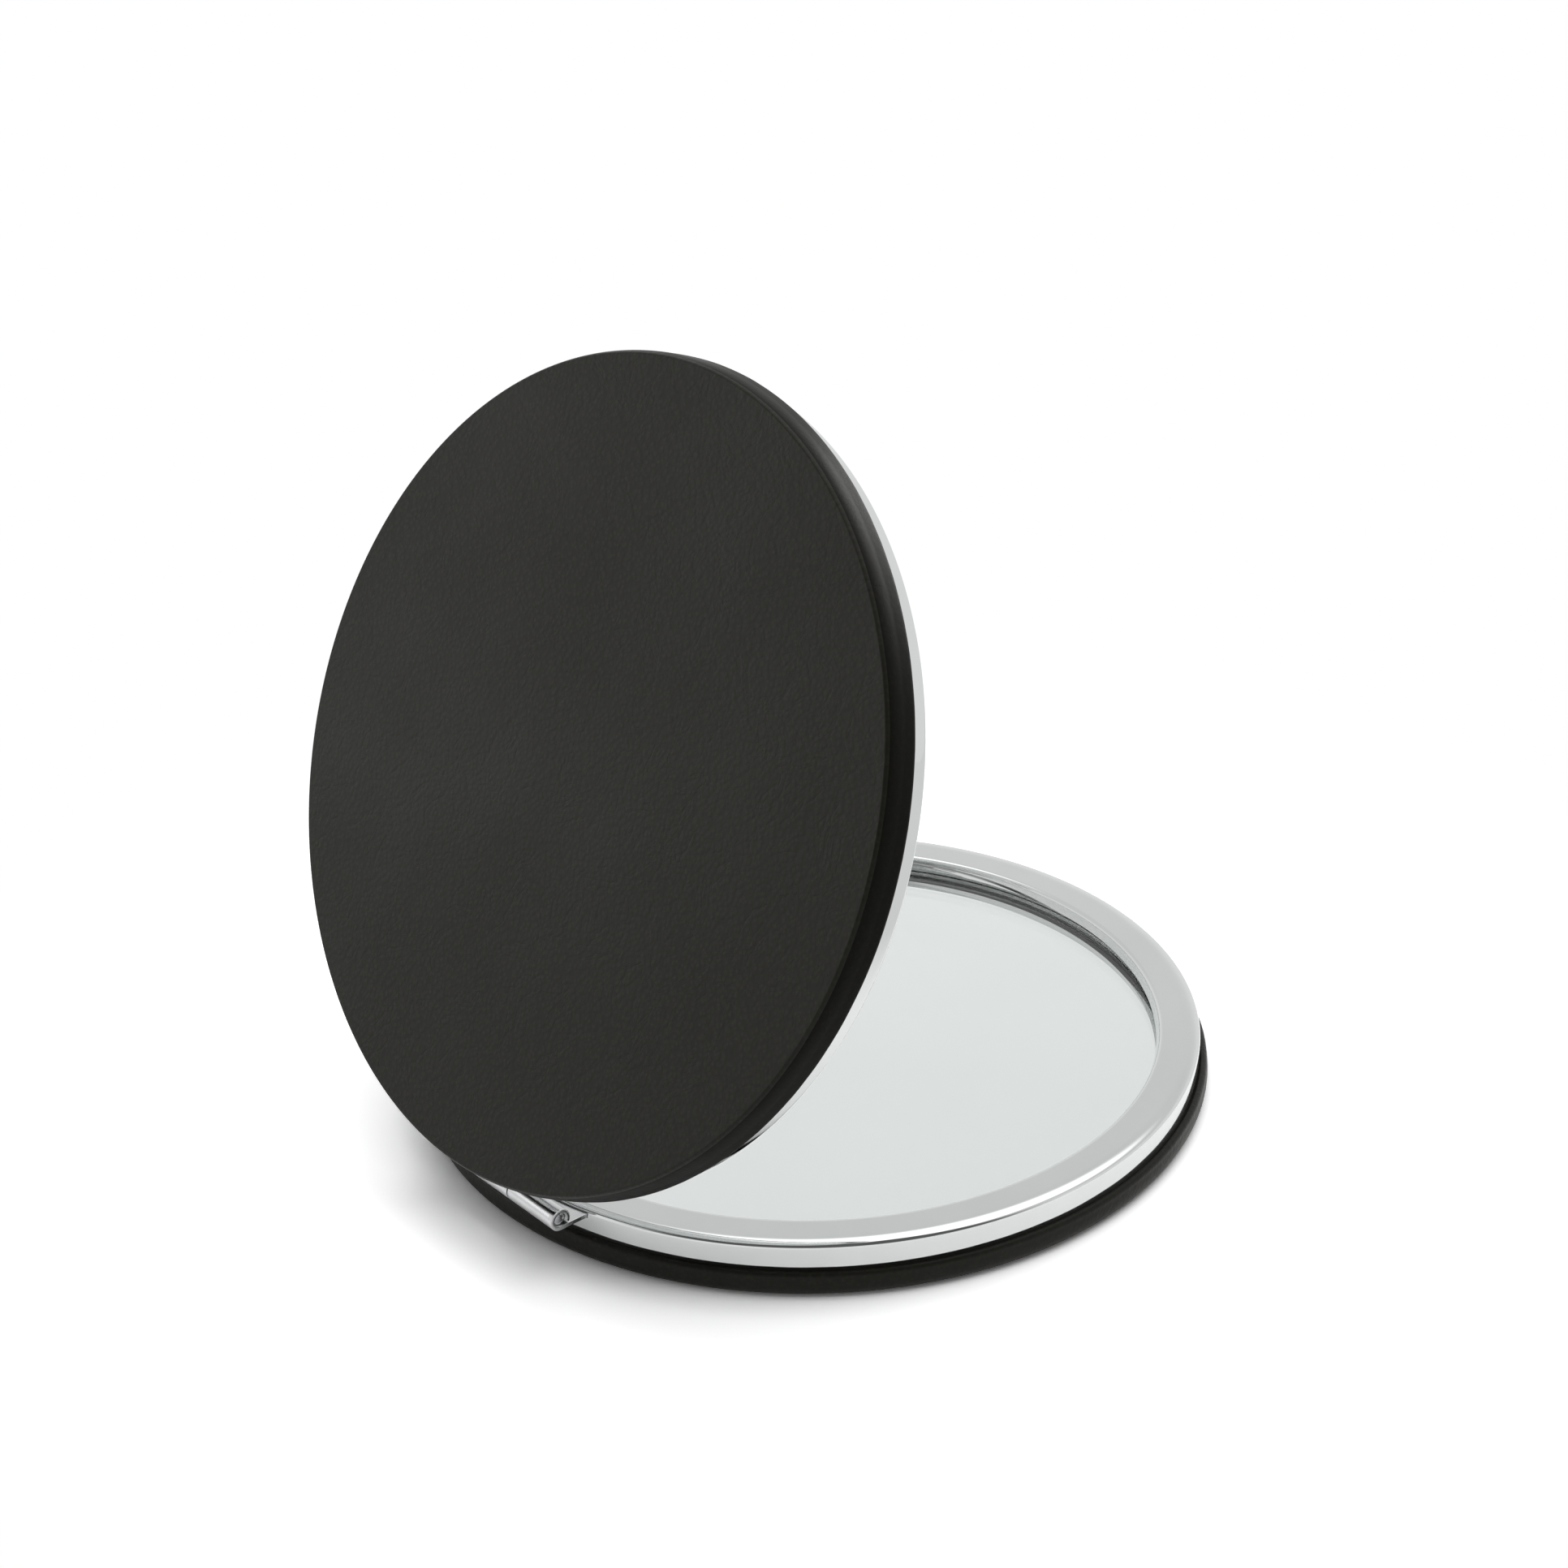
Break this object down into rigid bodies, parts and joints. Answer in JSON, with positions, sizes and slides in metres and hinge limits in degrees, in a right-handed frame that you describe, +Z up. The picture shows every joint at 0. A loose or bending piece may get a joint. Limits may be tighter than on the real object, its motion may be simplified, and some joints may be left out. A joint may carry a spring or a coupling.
{
  "type": "compact mirror",
  "caption": "Round folding pocket mirror: padded leather covers, chrome rings round a plain and a magnifying glass, curled-leaf hinge at the back.",
  "frame": {"origin": "centre of the flat face that the base rests on", "axes": "+Z up out of the base's mirror, +Y towards the hinge at the back, X along the hinge pin"},
  "size_m": [0.07, 0.0748, 0.0708],
  "materials": {
    "leather": "black grained imitation leather, satin",
    "foam": "fine closed-cell foam sheet",
    "tray_plastic": "moulded, fine matt",
    "foam_tape": "white double-sided foam tape",
    "silvering": "silver coat on the back of the glass, with its film",
    "glass": "clear float glass with a ground edge",
    "chrome": "stamped sheet, bright chrome plate",
    "hinge_steel": "plated steel, satin",
    "magnet": "nickel-plated magnet"
  },
  "bodies": {
    "base": {"base_leather_cover": "leather", "base_foam_pad": "foam", "base_tray": "tray_plastic", "base_mirror_tape": "foam_tape", "base_mirror_backing": "silvering", "base_mirror_glass": "glass", "base_frame": "chrome", "base_hinge_leaf": "hinge_steel", "base_magnet": "magnet", "hinge_pin": "hinge_steel"},
    "lid": {"lid_leather_cover": "leather", "lid_foam_pad": "foam", "lid_tray": "tray_plastic", "lid_mirror_tape": "foam_tape", "lid_mirror_backing": "silvering", "lid_mirror_glass": "glass", "lid_frame": "chrome", "lid_hinge_leaf": "hinge_steel", "lid_magnet": "magnet"}
  },
  "joints": [
    {"name": "lid_hinge", "type": "hinge", "parent": "base", "child": "lid", "pos_m": [0, 0.0358, 0.0052], "axis": [-1, 0, 0], "range_deg": [-64, 116]}
  ]
}
